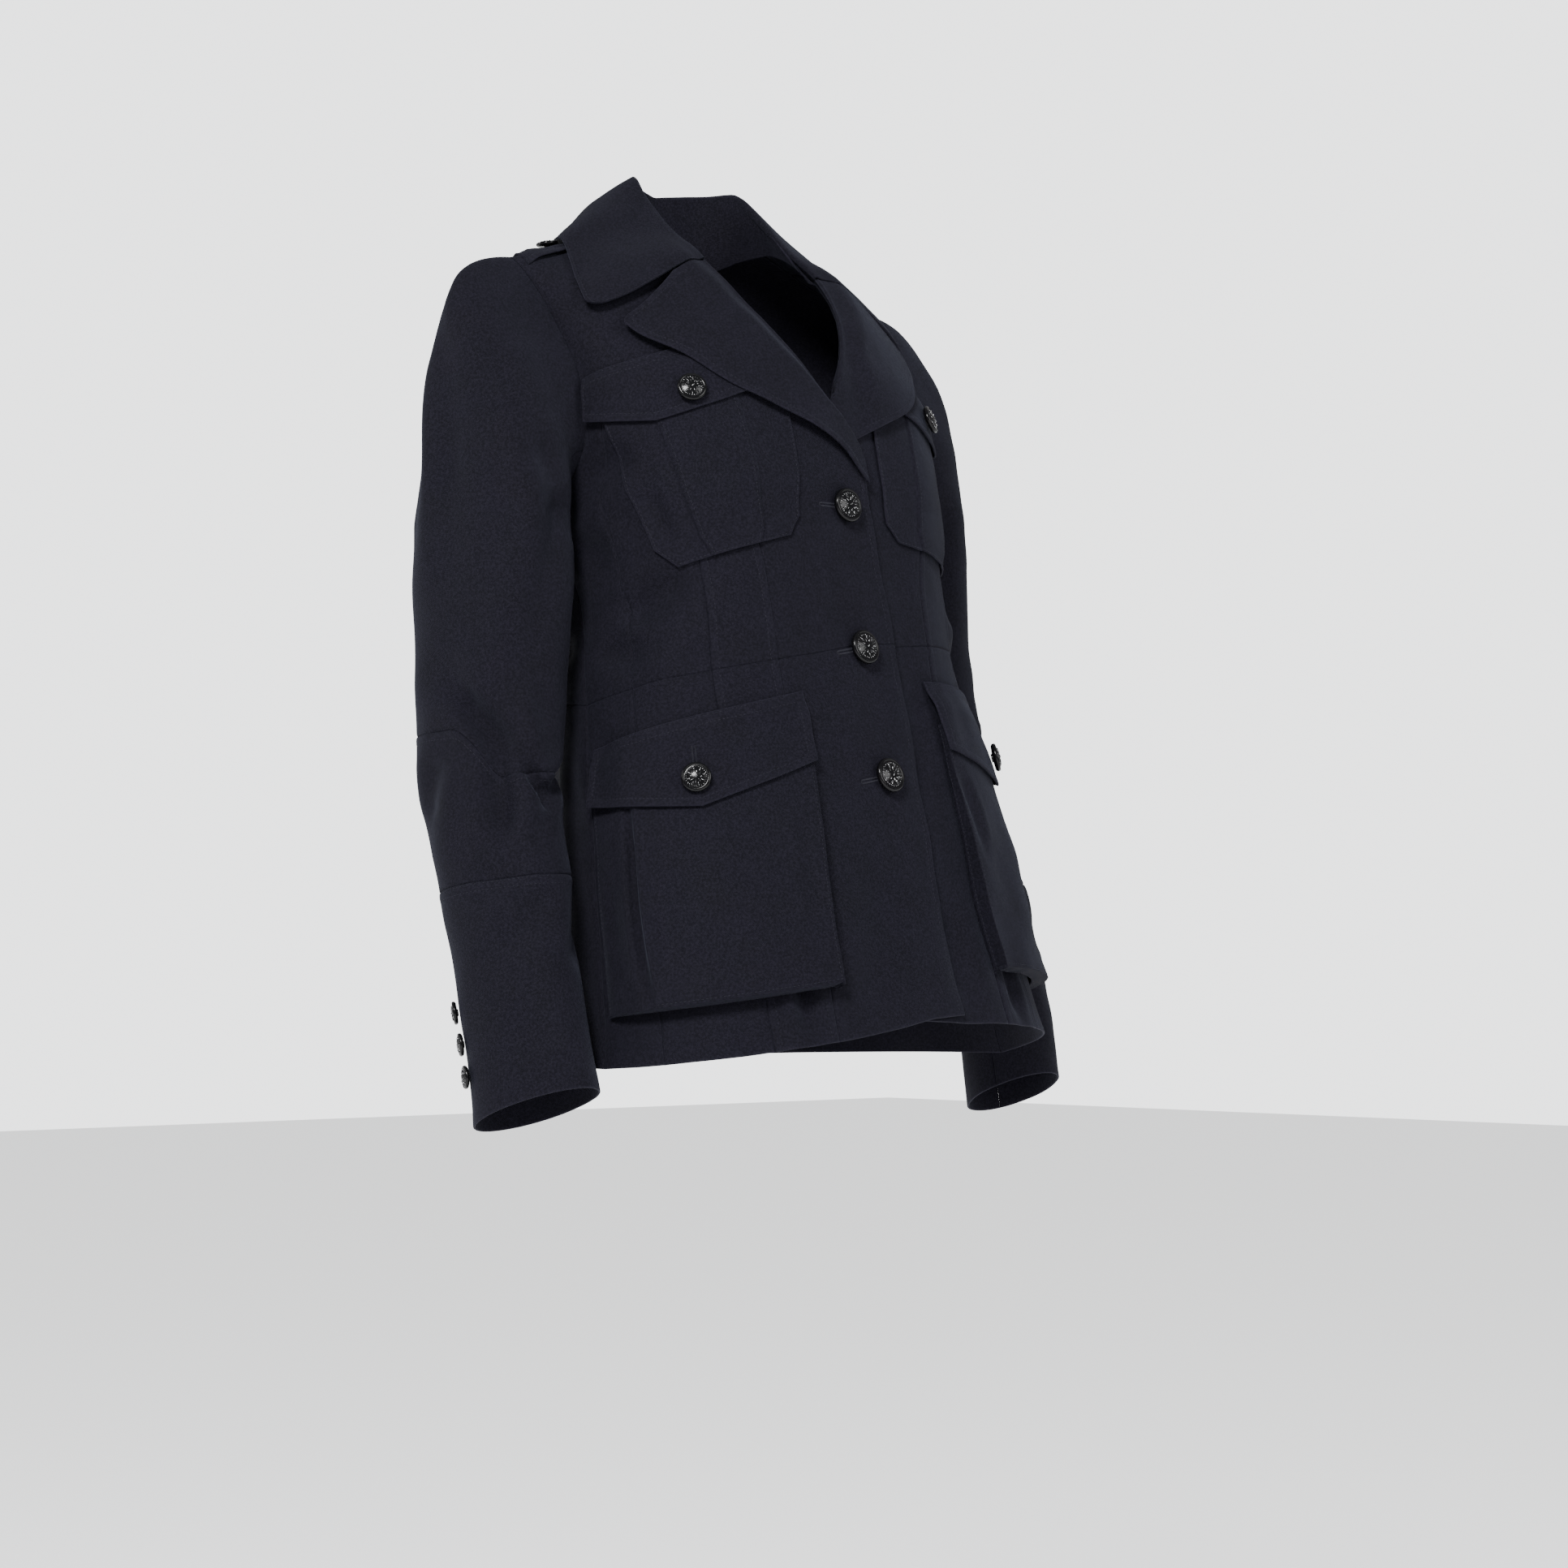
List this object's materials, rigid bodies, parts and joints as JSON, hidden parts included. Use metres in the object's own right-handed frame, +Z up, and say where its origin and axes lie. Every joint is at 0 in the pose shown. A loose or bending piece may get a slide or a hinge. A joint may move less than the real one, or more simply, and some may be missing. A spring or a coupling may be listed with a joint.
{
  "type": "jacket",
  "caption": "Fitted military-style jacket in its worn, hollow shape: notched collar, shoulder straps, chest patch pockets and standing-off hip pockets with flaps.",
  "frame": {"origin": "centre of the neck, level with the tops of the shoulders, where the wearer's shoulders hold the jacket up", "axes": "+Z up, from hem to collar; -Y to the front; +X to the wearer's left"},
  "size_m": [0.564, 0.3408, 0.7134],
  "materials": {
    "navy_cloth": "matte very dark navy gabardine with a faint nap",
    "black_button": "glossy black with a silvered relief in the middle"
  },
  "bodies": {
    "root": {"front_right": "navy_cloth", "front_left": "navy_cloth", "mid_front_right": "navy_cloth", "mid_front_left": "navy_cloth", "side_front_right": "navy_cloth", "side_front_left": "navy_cloth", "side_right": "navy_cloth", "side_left": "navy_cloth", "back_right": "navy_cloth", "back_left": "navy_cloth", "front_skirt_right": "navy_cloth", "front_skirt_left": "navy_cloth", "mid_skirt_right": "navy_cloth", "mid_skirt_left": "navy_cloth", "side_front_skirt_right": "navy_cloth", "side_front_skirt_left": "navy_cloth", "side_skirt_right": "navy_cloth", "side_skirt_left": "navy_cloth", "back_skirt_right": "navy_cloth", "back_skirt_left": "navy_cloth", "sleeve_top_right": "navy_cloth", "sleeve_top_left": "navy_cloth", "sleeve_under_right": "navy_cloth", "sleeve_under_left": "navy_cloth", "elbow_right": "navy_cloth", "elbow_left": "navy_cloth", "forearm_top_right": "navy_cloth", "forearm_top_left": "navy_cloth", "forearm_under_right": "navy_cloth", "forearm_under_left": "navy_cloth", "lapel_right": "navy_cloth", "lapel_left": "navy_cloth", "chest_pocket_right": "navy_cloth", "chest_pocket_left": "navy_cloth", "chest_flap_right": "navy_cloth", "chest_flap_left": "navy_cloth", "pocket_right": "navy_cloth", "pocket_left": "navy_cloth", "pocket_flap_right": "navy_cloth", "pocket_flap_left": "navy_cloth", "strap_right": "navy_cloth", "strap_left": "navy_cloth", "collar_fall": "navy_cloth", "collar_stand": "navy_cloth", "front_button_1": "black_button", "front_button_2": "black_button", "front_button_3": "black_button", "chest_button_right": "black_button", "pocket_button_right": "black_button", "strap_button_right": "black_button", "cuff_button_1_right": "black_button", "cuff_button_2_right": "black_button", "cuff_button_3_right": "black_button", "chest_button_left": "black_button", "pocket_button_left": "black_button", "strap_button_left": "black_button", "cuff_button_1_left": "black_button", "cuff_button_2_left": "black_button", "cuff_button_3_left": "black_button"}
  },
  "joints": []
}
